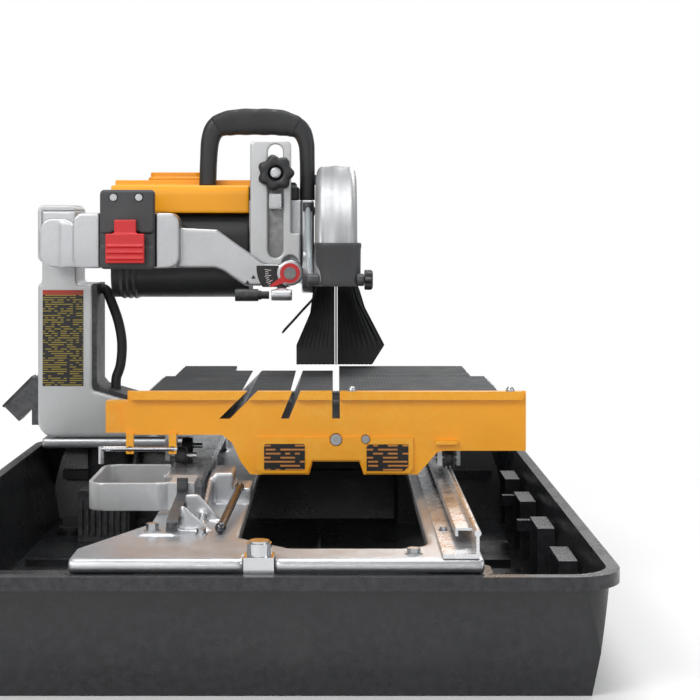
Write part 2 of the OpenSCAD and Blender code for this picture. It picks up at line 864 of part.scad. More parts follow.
module blade_guard() {
    mid = (guard_x[0] + guard_x[1]) / 2;
    color(silver) difference() {
        union() {
            along_x([guard_x[0] + 4, guard_x[1] - 4]) guard_section(guard_r);
            along_x(guard_x) guard_section(guard_r - 5);
            along_x([mid - 3, mid + 3]) guard_section(guard_r + 2);
            // stub that takes the handle
            box([53, 62], [337, 353], [465, 480]);
        }
        along_x([guard_x[0] + 2.5, guard_x[1] - 2.5]) difference() {
            guard_section(guard_r - 8);
        }
        box([guard_x[0] + 2.5, guard_x[1] - 2.5], [arbor_y - 141, arbor_y + 141], [330, 340]);
        rod_x([guard_x[0] - 1, guard_x[0] + 4], arbor_y, arbor_z, 19.3);
        box([guard_x[0] - 1, guard_x[0] + 4], [arbor_y - 19.3, arbor_y + 19.3], [330, arbor_z]);
        box([guard_x[1] - 4, guard_x[1] + 1], [arbor_y - 24, arbor_y + 24], [330, arbor_z]);
        rod_x([guard_x[1] - 4, guard_x[1] + 1], arbor_y, arbor_z, 24);
    }
}

module guard_collar() {
    color("#7b7e81") difference() {
        union() {
            along_x([54, 113]) difference() {
                translate([arbor_y - 137, 360.25]) rrect(30, 58.5, 9);
                translate([arbor_y, guard_z]) circle(guard_r + 2.3, $fn = 360);
            }
            for (x = [[45, 54], [111, 116]]) rod_x(x, 184, 343, 8);
        }
        box([57, 110], [181.5, 214], [334, 385]);
    }
    color(steel) rod_x([115.5, 127], 184, 343, 4);
}

module nozzle_knob() {
    color(black) difference() {
        rod_x([116.4, 127], 184, 343, 13);
        rod_x([116, 128], 184, 343, 4.05);
        for (i = [0:7]) translate([0, 184 + 14.5 * cos(i * 45), 343 + 14.5 * sin(i * 45)])
            rotate([0, 90, 0]) translate([0, 0, 116]) cylinder(h = 12, r = 3);
    }
}

module nozzle_hose() {
    color("#cfd6d8") {
        bent_rod([[44, 302, 440], [44, 288, 410], [46, 262, 370], [48, 225, 352], [50, 200, 346]], 4);
    }
    color(black) box([36, 50.5], [294, 309.9], [428, 442]);
}

module splash_flap() {
    color(black) {
        along_y([345, 348]) difference() {
            polygon([[50, 323], [113, 323], [120, 300], [147, 249], [147, 243], [130, 224], [127, 222.5],
                [27, 222.5], [27, 249], [46, 292]]);
            translate([78, 200]) square([6, 140]);
        }
        for (i = [0:9]) {
            box([33 + i * 4.4, 35 + i * 4.4], [343.6, 345.5], [224, 250 + i * 6]);
            box([88 + i * 5, 90 + i * 5], [343.6, 345.5], [226, 318 - i * 7]);
        }
    }
    color(black) {
        for (x = [[54, 78], [84, 108]]) box(x, [344, 349], [320, 327]);
        for (x = [[54, 60], [102, 108]]) box(x, [344, 349], [322, 335.3]);
    }
}

module side_wings() {
    color(black) {
        along_y([300, 342]) polygon([[56.3, 326], [54, 326], [49, 312], [8, 268], [10, 266], [52, 308]]);
        along_y([300, 342])
            polygon([[105.6, 335.3], [108, 335.3], [110, 322], [138, 258], [135.6, 257], [106, 318]]);
        box([54, 56.5], [300, 342], [324, 331.9]);
        box([54, 56.5], [300, 309], [331, 335.3]);
    }
}

// ---- motor and arbor ----
module stator() {
    color("#8a5a34") along_x([-180, -96]) difference() {
        translate([motor_y, motor_z]) circle(36);
        translate([motor_y, motor_z]) circle(26);
    }
    color(steel) along_x([-190, -84]) difference() {
        intersection() {
            translate([motor_y, motor_z - 8]) square([110, 96], center = true);
            translate([motor_y, motor_z]) circle(50);
            motor_profile(4.2);
        }
        translate([motor_y, motor_z]) circle(36);
    }
    color(steel) box([motor_x0 + 4, motor_x0 + 12], [motor_y - 50, motor_y + 50], [motor_z - 6, motor_z + 6]);
}

module armature() {
    color("#7a4d2c") rod_x([-176, -100], motor_y, motor_z, 25);
    color(steel) {
        rod_x([-200, 36], motor_y, motor_z, 5);
        rod_x([-94, -80], motor_y, motor_z, 14);
        rod_x([-78, -70], motor_y, motor_z, 24);
        rod_x([36, 47.5], motor_y, motor_z, 5);
        rod_x([38.6, 47.3], motor_y, motor_z, motor_pulley_r);
    }
}

module drive_belt() {
    color(black) difference() {
        along_x([39.6, 46.3]) belt_path(2.3);
        along_x([39, 47]) belt_path(0.3);
    }
}

module belt_path(t) {
    c = norm([motor_y - arbor_y, motor_z - arbor_z]);
    d = atan2(motor_z - arbor_z, motor_y - arbor_y);
    s = asin((arbor_pulley_r - motor_pulley_r) / c);
    ra = arbor_pulley_r + t;
    rm = motor_pulley_r + t;
    translate([arbor_y, arbor_z]) rotate(d) {
        circle(ra);
        translate([c, 0]) circle(rm);
        flat = 0.03;
        polygon([[ra * sin(s), (ra - flat) * cos(s)], [c + rm * sin(s), (rm - flat) * cos(s)],
            [c + rm * sin(s), (flat - rm) * cos(s)], [ra * sin(s), (flat - ra) * cos(s)]]);
    }
}

module arbor_shaft() {
    color(steel) {
        rod_x([14.5, 100], arbor_y, arbor_z, arbor_r);
        rod_x([38.6, 47.3], arbor_y, arbor_z, arbor_pulley_r);
    }
}

module arbor_bearings() {
    color(steel) for (x = [[15.5, 24], [57.5, 68]]) difference() {
        rod_x(x, arbor_y, arbor_z, 13.9);
        rod_x([x[0] - 1, x[1] + 1], arbor_y, arbor_z, arbor_r + 0.04);
    }
    color(steel) for (x = [[-35, -26], [-205, -199]]) difference() {
        rod_x(x, motor_y, motor_z, 13.9);
        rod_x([x[0] - 1, x[1] + 1], motor_y, motor_z, 5.04);
    }
}

module arbor_flanges() {
    color(steel) difference() {
        union() {
            rod_x([73, blade_x - blade_t / 2], arbor_y, arbor_z, 23);
            rod_x([blade_x + blade_t / 2, 88], arbor_y, arbor_z, 23);
            translate([88, arbor_y, arbor_z]) rotate([0, 90, 0]) cylinder(h = 9, r = 13.5, $fn = 6);
        }
        rod_x([72, 98], arbor_y, arbor_z, arbor_r + 0.02);
    }
}

module blade() {
    color("#b9bcbe") difference() {
        rod_x([blade_x - blade_t / 2, blade_x + blade_t / 2], arbor_y, arbor_z, blade_r);
        rod_x([blade_x - 2, blade_x + 2], arbor_y, arbor_z, arbor_r);
        for (i = [0:11]) translate([0, arbor_y + 100 * cos(i * 30), arbor_z + 100 * sin(i * 30)])
            rotate([0, 90, 0]) translate([0, 0, blade_x - 2]) cylinder(h = 4, r = 3);
    }
}

water_pan();
drain_plug();
base_frame();
left_rail();
right_rail();
rail_loop();
rail_brace();
stay_rod();
front_post();
fasteners();
column();
column_cap();
column_trim();
column_label();
union() {
    cantilever_arm();
    plunger_body();
}
bevel_scale();
switch_box();
switch_paddle();
lock_plunger();
power_cable();
pump();
supply_hose();
receptacle_block();
receptacle_cap();
cart_table();
table_pads();
fascia();
fascia_labels();
fascia_screws();
hex_key();
carriage();
wheel(wheel_y[0]);  // wheel_front
wheel(wheel_y[1]);  // wheel_rear
roller(wheel_y[0], roller_z, roller_r, 3.05, [-95, -83]);  // roller_front
roller(wheel_y[1], roller_z, roller_r, 3.05, [-95, -83]);  // roller_rear
roller(keeper_y, keeper_z, keeper_r, 2.55, [-95, -85]);  // keeper_roller
bevel_bracket();
bevel_pointer();
depth_stud();
depth_knob();
depth_plate();
motor_housing();
motor_cover();
vent_cover();
gear_housing();
housing_cap();
carry_handle();
blade_guard();
guard_collar();
nozzle_knob();
nozzle_hose();
splash_flap();
side_wings();
stator();
armature();
drive_belt();
arbor_shaft();
arbor_bearings();
arbor_flanges();
blade();
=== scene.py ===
import json
import math

import bmesh
import bpy
from mathutils import Matrix, Vector


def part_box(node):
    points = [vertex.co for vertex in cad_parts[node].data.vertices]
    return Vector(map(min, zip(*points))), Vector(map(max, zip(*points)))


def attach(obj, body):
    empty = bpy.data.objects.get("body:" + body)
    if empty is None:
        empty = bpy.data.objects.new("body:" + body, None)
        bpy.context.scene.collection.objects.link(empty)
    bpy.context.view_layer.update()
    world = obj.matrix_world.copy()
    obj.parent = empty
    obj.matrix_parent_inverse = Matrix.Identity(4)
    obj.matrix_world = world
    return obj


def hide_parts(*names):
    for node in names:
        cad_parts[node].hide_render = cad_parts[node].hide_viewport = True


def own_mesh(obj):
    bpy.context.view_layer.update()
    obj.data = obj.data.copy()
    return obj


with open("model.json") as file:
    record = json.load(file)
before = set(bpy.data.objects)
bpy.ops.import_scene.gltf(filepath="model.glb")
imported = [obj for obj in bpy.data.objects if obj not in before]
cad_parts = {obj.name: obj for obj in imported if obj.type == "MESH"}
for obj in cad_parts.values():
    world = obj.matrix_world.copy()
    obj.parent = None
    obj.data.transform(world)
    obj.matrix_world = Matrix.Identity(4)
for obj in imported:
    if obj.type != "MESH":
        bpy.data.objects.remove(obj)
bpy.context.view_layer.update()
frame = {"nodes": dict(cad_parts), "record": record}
RECORD = frame["record"]
NODES = frame["nodes"]
BODY_OF = {n: b for b, ns in RECORD["behaviour"]["bodies"].items() for n in ns}
SLOT_OF = {s["node"]: s["material_slot"] for s in RECORD["subparts"]}

# places that several sections share, in metres
BLADE_CENTRE = (0.081, 0.330, 0.3514)
BEVEL_PIVOT_X, BEVEL_PIVOT_Z = 0.021, 0.3484
SPINDLE_Y, SPINDLE_Z = 0.184, 0.343

# ---- camera ----
camera_data = bpy.data.cameras.new("camera")
camera_data.lens = 81.8
camera_data.sensor_width = 36.0
camera_data.shift_x = 0.02
camera_data.shift_y = -0.186
camera_data.clip_start = 0.05
camera = bpy.data.objects.new("camera", camera_data)
bpy.context.scene.collection.objects.link(camera)
camera.location = (0.081, -1.803, 0.418)
camera.rotation_euler = (math.radians(90), 0, 0)
bpy.context.scene.camera = camera


# ---- materials ----
class Nodes:
    """A small builder for one material's node tree."""

    def __init__(self, name):
        self.material = bpy.data.materials.new(name)
        self.material.use_nodes = True
        self.tree = self.material.node_tree
        self.bsdf = self.tree.nodes["Principled BSDF"]
        self.at = self.make("ShaderNodeTexCoord").outputs["Object"]
        self.height = None

    def make(self, kind, **values):
        node = self.tree.nodes.new(kind)
        for key, value in values.items():
            setattr(node, key, value)
        return node

    def link(self, a, b):
        self.tree.links.new(a, b)

    def stretched(self, scale):
        node = self.make("ShaderNodeMapping")
        node.inputs["Scale"].default_value = scale
        self.link(self.at, node.inputs["Vector"])
        return node.outputs["Vector"]

    def noise(self, scale, detail=3.0, rough=0.55, at=None):
        node = self.make("ShaderNodeTexNoise")
        node.inputs["Scale"].default_value = scale
        node.inputs["Detail"].default_value = detail
        node.inputs["Roughness"].default_value = rough
        self.link(at or self.at, node.inputs["Vector"])
        return node.outputs["Fac"]

    def cells(self, scale, at=None):
        node = self.make("ShaderNodeTexVoronoi")
        node.inputs["Scale"].default_value = scale
        self.link(at or self.at, node.inputs["Vector"])
        return node.outputs["Distance"]

    def ramp(self, value, low, high, to_low=0.0, to_high=1.0):
        node = self.make("ShaderNodeMapRange")
        node.clamp = True
        node.inputs["From Min"].default_value = low
        node.inputs["From Max"].default_value = high
        node.inputs["To Min"].default_value = to_low
        node.inputs["To Max"].default_value = to_high
        self.link(value, node.inputs["Value"])
        return node.outputs["Result"]

    def math(self, kind, a, b=0.0):
        node = self.make("ShaderNodeMath", operation=kind)
        for socket, value in ((node.inputs[0], a), (node.inputs[1], b)):
            if isinstance(value, (int, float)):
                socket.default_value = value
            else:
                self.link(value, socket)
        return node.outputs[0]

    def mix(self, factor, a, b):
        node = self.make("ShaderNodeMix", data_type="RGBA")
        if isinstance(factor, (int, float)):
            node.inputs[0].default_value = factor
        else:
            self.link(factor, node.inputs[0])
        for socket, value in ((node.inputs[6], a), (node.inputs[7], b)):
            if isinstance(value, (tuple, list)):
                socket.default_value = (*value[:3], 1.0)
            else:
                self.link(value, socket)
        return node.outputs[2]

    def edges(self, low=0.53, high=0.60):
        return self.ramp(self.make("ShaderNodeNewGeometry").outputs["Pointiness"], low, high)

    def bump(self, height, strength, distance=0.001):
        node = self.make("ShaderNodeBump")
        node.inputs["Strength"].default_value = strength
        node.inputs["Distance"].default_value = distance
        self.link(height, node.inputs["Height"])
        if self.height is not None:
            self.link(self.height, node.inputs["Normal"])
        self.height = node.outputs["Normal"]
        self.link(self.height, self.bsdf.inputs["Normal"])

    def set(self, **values):
        for key, value in values.items():
            socket = self.bsdf.inputs[key.replace("_", " ")]
            if isinstance(value, (int, float)):
                socket.default_value = value
            else:
                self.link(value, socket)


def shade(color, by):
    return tuple(max(0.0, min(1.0, c * by)) for c in color)


def finish(name, color, rough, metallic=0.0, vary=0.12, grain=900.0, grain_bump=0.12, spread=0.1,
           wear=0.0, worn=(0.6, 0.6, 0.6), coat=0.0, streak=None, grime=0.0, patch=14.0):
    """Colour variation at two scales, uneven roughness, surface grain, worn edges and settled grime."""
    m = Nodes(name)
    broad = m.noise(patch, 4.0)
    fine = m.noise(grain * 0.35, 2.0)
    base = m.mix(m.ramp(broad, 0.3, 0.7), shade(color, 1 - vary), shade(color, 1 + vary))
    base = m.mix(m.ramp(fine, 0.35, 0.75, 0.0, 0.35), base, shade(color, 1 - 1.6 * vary))
    rough_out = m.ramp(m.noise(patch * 3.1, 5.0, 0.65), 0.25, 0.75, rough - spread, rough + spread)
    if grime:
        spots = m.ramp(m.noise(patch * 0.6, 8.0, 0.7), 0.56, 0.74, 0.0, grime)
        base = m.mix(spots, base, (0.32, 0.30, 0.27))
        rough_out = m.math("ADD", rough_out, m.math("MULTIPLY", spots, 0.25))
    if wear:
        edge = m.math("MULTIPLY", m.edges(), m.ramp(m.noise(120.0, 6.0, 0.7), 0.4, 0.62, 0.0, wear))
        base = m.mix(edge, base, worn)
        rough_out = m.math("SUBTRACT", rough_out, m.math("MULTIPLY", edge, 0.12))
    m.link(base, m.bsdf.inputs["Base Color"])
    m.set(Roughness=rough_out, Metallic=metallic)
    if coat:
        m.set(Coat_Weight=coat, Coat_Roughness=0.12)
    if streak:
        m.bump(m.noise(1.0, 3.0, 0.6, m.stretched(streak)), 0.16, 0.0004)
    m.bump(m.noise(grain, 3.0, 0.6), grain_bump, 0.0006)
    return m


def label_finish(name, ground, ink, rows, breaks, warm=None):
    """A printed plate: broken bars of ink in rows, with no lettering."""
    m = Nodes(name)
    split = m.make("ShaderNodeSeparateXYZ")
    m.link(m.at, split.inputs["Vector"])
    x, z = split.outputs["X"], split.outputs["Z"]
    row = m.math("MULTIPLY", z, rows)
    bar = m.math("LESS_THAN", m.math("FRACT", row), 0.42)
    seed = m.make("ShaderNodeCombineXYZ")
    m.link(m.math("MULTIPLY", m.math("FLOOR", m.math("MULTIPLY", x, breaks)), 3.7), seed.inputs[0])
    m.link(m.math("MULTIPLY", m.math("FLOOR", row), 5.3), seed.inputs[1])
    on = m.math("GREATER_THAN", m.noise(1.0, 1.0, 0.5, seed.outputs[0]), 0.47)
    inked = m.math("MULTIPLY", bar, on)
    base = m.mix(inked, ground, ink)
    if warm:
        base = m.mix(m.math("GREATER_THAN", z, warm[0]), base, warm[1])
    base = m.mix(m.ramp(m.noise(90.0, 5.0), 0.35, 0.8, 0.0, 0.3), base, shade(ground, 2.2))
    m.link(base, m.bsdf.inputs["Base Color"])
    m.set(Roughness=m.ramp(m.noise(40.0), 0.3, 0.7, 0.32, 0.5))
    m.bump(m.noise(1200.0), 0.04, 0.0003)
    return m


def pad_finish():
    """Ribbed rubber table pads, dusted with dried slurry."""
    m = finish("rubber_pad", (0.040, 0.042, 0.045), 0.72, vary=0.2, grain=1500.0, grain_bump=0.3, grime=0.25)
    split = m.make("ShaderNodeSeparateXYZ")
    m.link(m.at, split.inputs["Vector"])
    ridge = m.math("SINE", m.math("MULTIPLY", split.outputs["X"], 2 * math.pi / 0.004))
    m.bump(m.ramp(ridge, 0.2, 0.9), 0.35, 0.0006)
    return m


def blade_finish():
    """Ground steel with rings, and a gritty rim."""
    m = Nodes("blade")
    offset = m.make("ShaderNodeVectorMath", operation="SUBTRACT")
    m.link(m.at, offset.inputs[0])
    offset.inputs[1].default_value = BLADE_CENTRE
    length = m.make("ShaderNodeVectorMath", operation="LENGTH")
    m.link(offset.outputs[0], length.inputs[0])
    radius = length.outputs["Value"]
    rings = m.math("SINE", m.math("MULTIPLY", radius, 9000.0))
    rim = m.math("GREATER_THAN", radius, 0.1195)
    steel = m.mix(m.ramp(m.noise(40.0, 5.0), 0.3, 0.7), (0.36, 0.37, 0.38), (0.48, 0.49, 0.50))
    grit = m.mix(m.ramp(m.cells(1400.0), 0.1, 0.5), (0.12, 0.11, 0.09), (0.06, 0.055, 0.05))
    m.link(m.mix(rim, steel, grit), m.bsdf.inputs["Base Color"])
    m.set(Metallic=m.ramp(rim, 0.0, 1.0, 1.0, 0.3), Roughness=m.ramp(rim, 0.0, 1.0, 0.28, 0.8))
    m.bump(rings, 0.08, 0.0002)
    m.bump(m.noise(900.0), 0.1, 0.0004)
    return m


def winding_finish():
    m = finish("windings", (0.42, 0.19, 0.07), 0.4, metallic=0.7, vary=0.25, grain=700.0)
    split = m.make("ShaderNodeSeparateXYZ")
    m.link(m.at, split.inputs["Vector"])
    m.bump(m.math("SINE", m.math("MULTIPLY", split.outputs["X"], 2 * math.pi / 0.0016)), 0.6, 0.0008)
    return m


FINISH = {
    "black_plastic": finish("black_plastic", (0.020, 0.021, 0.023), 0.42, vary=0.25, grain=1300.0,
                            grain_bump=0.22, wear=0.5, worn=(0.10, 0.10, 0.11), grime=0.10),
    "pan_plastic": finish("pan_plastic", (0.012, 0.013, 0.015), 0.30, vary=0.15, grain=900.0,
                          grain_bump=0.14, wear=0.4, worn=(0.06, 0.06, 0.07), grime=0.035, patch=7.0),
    "cast_aluminium": finish("cast_aluminium", (0.56, 0.57, 0.59), 0.36, metallic=0.88, vary=0.08,
                             grain=750.0, grain_bump=0.30, wear=0.7, worn=(0.86, 0.87, 0.88), grime=0.12),
    "machined_aluminium": finish("machined_aluminium", (0.74, 0.75, 0.77), 0.30, metallic=0.9, vary=0.07,
                                 grain=1500.0, grain_bump=0.06, streak=(900, 8, 900), wear=0.4,
                                 worn=(0.9, 0.9, 0.9)),
    "painted_casting": finish("painted_casting", (0.58, 0.59, 0.60), 0.36, metallic=0.45, vary=0.05,
                              grain=520.0, grain_bump=0.22, wear=0.5, worn=(0.82, 0.82, 0.83), coat=0.25,
                              grime=0.08),
    "guard_metal": finish("guard_metal", (0.40, 0.41, 0.42), 0.44, metallic=0.55, vary=0.04, grain=620.0,
                          grain_bump=0.12, wear=0.4, worn=(0.7, 0.7, 0.71), grime=0.03),
    # a darker copy of painted_casting: its dark base is painted shade for the bevel bracket, which sits back
    # in shadow behind the depth plate; its grime and worn edges are surface marks
    "painted_shade_casting": finish("painted_shade_casting", (0.22, 0.225, 0.23), 0.46, metallic=0.6, vary=0.10,
                             grain=750.0, grain_bump=0.24, wear=0.4, worn=(0.5, 0.5, 0.5), grime=0.06),
    "machined_steel": finish("machined_steel", (0.52, 0.53, 0.54), 0.30, metallic=1.0, vary=0.10,
                             grain=1400.0, grain_bump=0.08, streak=(40, 900, 900)),
    "chrome": finish("chrome", (0.60, 0.61, 0.63), 0.16, metallic=1.0, vary=0.05, grain=1100.0,
                     grain_bump=0.03, spread=0.06),
    "dark_rod": finish("dark_rod", (0.10, 0.10, 0.11), 0.24, metallic=0.9, vary=0.15, grain=1000.0,
                       grain_bump=0.06),
    "yellow_paint": finish("yellow_paint", (0.95, 0.385, 0.0015), 0.36, vary=0.03, grain=420.0,
                           grain_bump=0.10, coat=0.35, wear=0.25, worn=(0.95, 0.62, 0.10)),
    "yellow_plastic": finish("yellow_plastic", (0.95, 0.385, 0.0015), 0.38, vary=0.04, grain=1200.0,
                             grain_bump=0.16, coat=0.12, wear=0.15, worn=(0.95, 0.62, 0.10)),
    "orange_plastic": finish("orange_plastic", (0.80, 0.33, 0.008), 0.40, vary=0.06, grain=1200.0,
                             grain_bump=0.16, coat=0.1, grime=0.06),
    "red_plastic": finish("red_plastic", (0.66, 0.018, 0.022), 0.36, vary=0.08, grain=1200.0,
                          grain_bump=0.12, coat=0.25),
    "rubber": finish("rubber", (0.024, 0.025, 0.027), 0.62, vary=0.25, grain=1600.0, grain_bump=0.25,
                     grime=0.14),
    "grey_plastic": finish("grey_plastic", (0.052, 0.054, 0.058), 0.44, vary=0.18, grain=1300.0,
                           grain_bump=0.22, wear=0.4, worn=(0.16, 0.16, 0.17), grime=0.08),
    "clear_hose": finish("clear_hose", (0.62, 0.68, 0.71), 0.20, vary=0.06, grain=600.0, grain_bump=0.04,
                         coat=0.4),
    "label": label_finish("label", (0.012, 0.012, 0.012), (0.34, 0.26, 0.03), 330.0, 240.0,
                          warm=(0.3165, (0.42, 0.04, 0.02))),
    "small_label": label_finish("small_label", (0.012, 0.012, 0.012), (0.62, 0.24, 0.05), 230.0, 190.0),
    "scale_plate": finish("scale_plate", (0.016, 0.016, 0.018), 0.30, vary=0.2, grain=1500.0,
                          grain_bump=0.05),
    "white_print": finish("white_print", (0.80, 0.80, 0.79), 0.45, vary=0.05, grain=1500.0, grain_bump=0.05),
    "rubber_pad": pad_finish(),
    "blade_steel": blade_finish(),
    "copper": winding_finish(),
}
FINISH["clear_hose"].set(Transmission_Weight=0.45, IOR=1.4)
SPECIAL = {
    "water_pan": "pan_plastic", "left_rail": "machined_aluminium", "right_rail": "machined_aluminium",
    "fascia_labels": "small_label", "table_pads": "rubber_pad", "stay_rod": "dark_rod",
    # the bevel bracket takes the darker casting copy, whose darkness is painted shade
    "gear_housing": "cast_aluminium", "bevel_scale": "scale_plate", "bevel_bracket": "painted_shade_casting",
}


def finish_of(node):
    return FINISH[SPECIAL.get(node, SLOT_OF[node])].material


# ---- mesh tools ----
def link(obj):
    bpy.context.scene.collection.objects.link(obj)
    return obj


def new_object(name, mesh):
    return link(bpy.data.objects.new(name, mesh))


def evaluated_mesh(obj):
    graph = bpy.context.evaluated_depsgraph_get()
    graph.update()
    return bpy.data.meshes.new_from_object(obj.evaluated_get(graph))


def applied(obj):
    """The object with its modifiers turned into mesh."""
    mesh = evaluated_mesh(obj)
    obj.modifiers.clear()
    obj.data = mesh
    return obj


def smooth(obj):
    for polygon in obj.data.polygons:
        polygon.use_smooth = True


def from_bmesh(name, bm):
    """A new object that holds the finished bmesh, with its faces turned outward."""
    bmesh.ops.recalc_face_normals(bm, faces=bm.faces)
    mesh = bpy.data.meshes.new(name)
    bm.to_mesh(mesh)
    bm.free()
    return new_object(name, mesh)


def adopt(obj, node, material=None):
    """The piece stands for this CAD node, on its body, with its finish."""
    obj.data.materials.clear()
    obj.data.materials.append(material or finish_of(node))
    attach(obj, BODY_OF[node])
    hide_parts(node)
    return obj


def extra(obj, body, slot, material=None):
    """A detail that stands for no CAD node."""
    obj.data.materials.clear()
    obj.data.materials.append(material or FINISH[slot].material)
    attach(obj, body)
    return obj


def cast(node, voxel, rounds, ratio):
    """A casting or moulding with filleted corners, grown from its CAD node."""
    source = NODES[node]
    obj = new_object(node + "_cast", source.data.copy())
    obj.matrix_world = source.matrix_world.copy()
    remesh = obj.modifiers.new("remesh", "REMESH")
    remesh.mode = "VOXEL"
    remesh.voxel_size = voxel
    relax = obj.modifiers.new("relax", "SMOOTH")
    relax.factor = 0.5
    relax.iterations = rounds
    thin = obj.modifiers.new("thin", "DECIMATE")
    thin.ratio = ratio
    applied(obj)
    smooth(obj)
    adopt(obj, node)


def tube_curve(name, points, radius):
    curve = bpy.data.curves.new(name, "CURVE")
    curve.dimensions = "3D"
    spline = curve.splines.new("NURBS")
    spline.points.add(len(points) - 1)
    for point, target in zip(spline.points, points):
        point.co = (*target, 1.0)
    spline.use_endpoint_u = True
    spline.order_u = 4
    spline.resolution_u = 8
    curve.bevel_depth = radius
    curve.bevel_resolution = 6
    curve.use_fill_caps = True
    return link(bpy.data.objects.new(name, curve))


def loft(name, rings, closed_u=True, caps=True):
    """Joins rings of equal point counts into one skin."""
    bm = bmesh.new()
    rows = [[bm.verts.new(p) for p in ring] for ring in rings]
    for a, b in zip(rows, rows[1:]):
        count = len(a)
        for i in range(count if closed_u else count - 1):
            j = (i + 1) % count
            bm.faces.new((a[i], a[j], b[j], b[i]))
    if caps:
        bm.faces.new(rows[0][::-1])
        bm.faces.new(rows[-1])
    obj = from_bmesh(name, bm)
    smooth(obj)
    return obj


def two_faced(name, grids):
    """A thin sheet from two grids of points, one for each face, joined along all four edges."""
    bm = bmesh.new()
    a, b = [[[bm.verts.new(p) for p in row] for row in grid] for grid in grids]
    rows, columns = len(a) - 1, len(a[0]) - 1
    for grid in (a, b):
        for j in range(rows):
            for i in range(columns):
                bm.faces.new((grid[j][i], grid[j][i + 1], grid[j + 1][i + 1], grid[j + 1][i]))
    for j in range(rows):
        bm.faces.new((a[j][0], a[j + 1][0], b[j + 1][0], b[j][0]))
        bm.faces.new((a[j][-1], b[j][-1], b[j + 1][-1], a[j + 1][-1]))
    for i in range(columns):
        bm.faces.new((a[0][i], b[0][i], b[0][i + 1], a[0][i + 1]))
        bm.faces.new((a[-1][i], a[-1][i + 1], b[-1][i + 1], b[-1][i]))
    obj = from_bmesh(name, bm)
    smooth(obj)
    return obj


# ---- castings and mouldings ----
COARSER = 1.0
# node: voxel size in mm, rounds of smoothing, share of the faces kept
CASTINGS = {
    "base_frame": (2.2, 5, 0.30), "column": (2.4, 6, 0.25), "cantilever_arm": (1.6, 6, 0.25),
    "gear_housing": (1.3, 3, 0.25), "motor_cover": (1.4, 5, 0.25), "motor_housing": (1.4, 4, 0.25),
    "vent_cover": (0.9, 3, 0.30), "column_cap": (1.4, 6, 0.25), "switch_paddle": (0.7, 4, 0.30),
    "switch_box": (0.9, 4, 0.25), "depth_plate": (1.2, 3, 0.30), "rail_loop": (1.0, 3, 0.30),
    "housing_cap": (1.2, 5, 0.30),
}
for name, (voxel_mm, rounds, ratio) in CASTINGS.items():
    cast(name, voxel_mm / 1000 * COARSER, rounds, ratio)


# ---- carry handle: one smooth bow with a soft grip ----
def rounded_ring(center, side, up, half_w, half_h, power=3.2, count=28):
    ring = []
    for i in range(count):
        a = 2 * math.pi * i / count
        c, s = math.cos(a), math.sin(a)
        u = math.copysign(abs(c) ** (2 / power), c) * half_w
        v = math.copysign(abs(s) ** (2 / power), s) * half_h
        ring.append(tuple(center[k] + side[k] * u + up[k] * v for k in range(3)))
    return ring


def resample(points, count):
    """Catmull-Rom through the points, evenly spaced by parameter."""
    out = []
    padded = [points[0], *points, points[-1]]
    segments = len(points) - 1
    for n in range(count):
        t = n * segments / (count - 1)
        i = min(int(t), segments - 1)
        f = t - i
        p = padded[i:i + 4]
        row = []
        for a, b, c, d in zip(*p):
            row.append(0.5 * (2 * b + (c - a) * f + (2 * a - 5 * b + 4 * c - d) * f * f
                              + (3 * b - a - 3 * c + d) * f ** 3))
        out.append(row)
    return out


def build_handle():
    low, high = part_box("carry_handle")
    y = (low[1] + high[1]) / 2
    half = (high[1] - low[1]) / 2
    x0, x1, top = low[0], high[0], high[2]
    # x, z, half thickness along the path
    path = [
        (x0 + 0.012, low[2] + 0.020, 0.0115), (x0 + 0.013, top - 0.070, 0.0115),
        (x0 + 0.016, top - 0.040, 0.0125), (x0 + 0.026, top - 0.024, 0.0150),
        (x0 + 0.048, top - 0.0185, 0.0172), (x0 + 0.080, top - 0.0178, 0.0176),
        (x0 + 0.110, top - 0.0190, 0.0172), (x1 - 0.022, top - 0.027, 0.0140),
        (x1 - 0.0125, top - 0.044, 0.0112), (x1 - 0.0105, top - 0.070, 0.0102),
        (x1 - 0.0103, low[2] + 0.0005, 0.0102),
    ]
    points = resample(path, 90)
    rings = []
    for i, (x, z, thick) in enumerate(points):
        a = points[max(i - 1, 0)]
        b = points[min(i + 1, len(points) - 1)]
        d = math.hypot(b[0] - a[0], b[1] - a[1]) or 1e-9
        normal = (-(b[1] - a[1]) / d, 0.0, (b[0] - a[0]) / d)
        rings.append(rounded_ring((x, y, z), (0, 1, 0), normal, half * 0.98, thick))
    adopt(loft("carry_handle_bow", rings), "carry_handle")
    # soft overmould with shallow finger grooves
    grip = []
    for i, (x, z, thick) in enumerate(points[26:62]):
        k = i + 26
        a, b = points[k - 1], points[k + 1]
        d = math.hypot(b[0] - a[0], b[1] - a[1])
        normal = (-(b[1] - a[1]) / d, 0.0, (b[0] - a[0]) / d)
        swell = 0.00035 + 0.00035 * math.cos(i * 2 * math.pi / 7)
        inset = -0.0006 if i in (0, 35) else 0.0
        grip.append(rounded_ring((x, y, z), (0, 1, 0), normal, half * 0.98 + min(0.0002, inset + swell),
                                 thick + inset + swell - 0.0002))
    extra(loft("handle_grip", grip), "saw_head", "rubber")


build_handle()


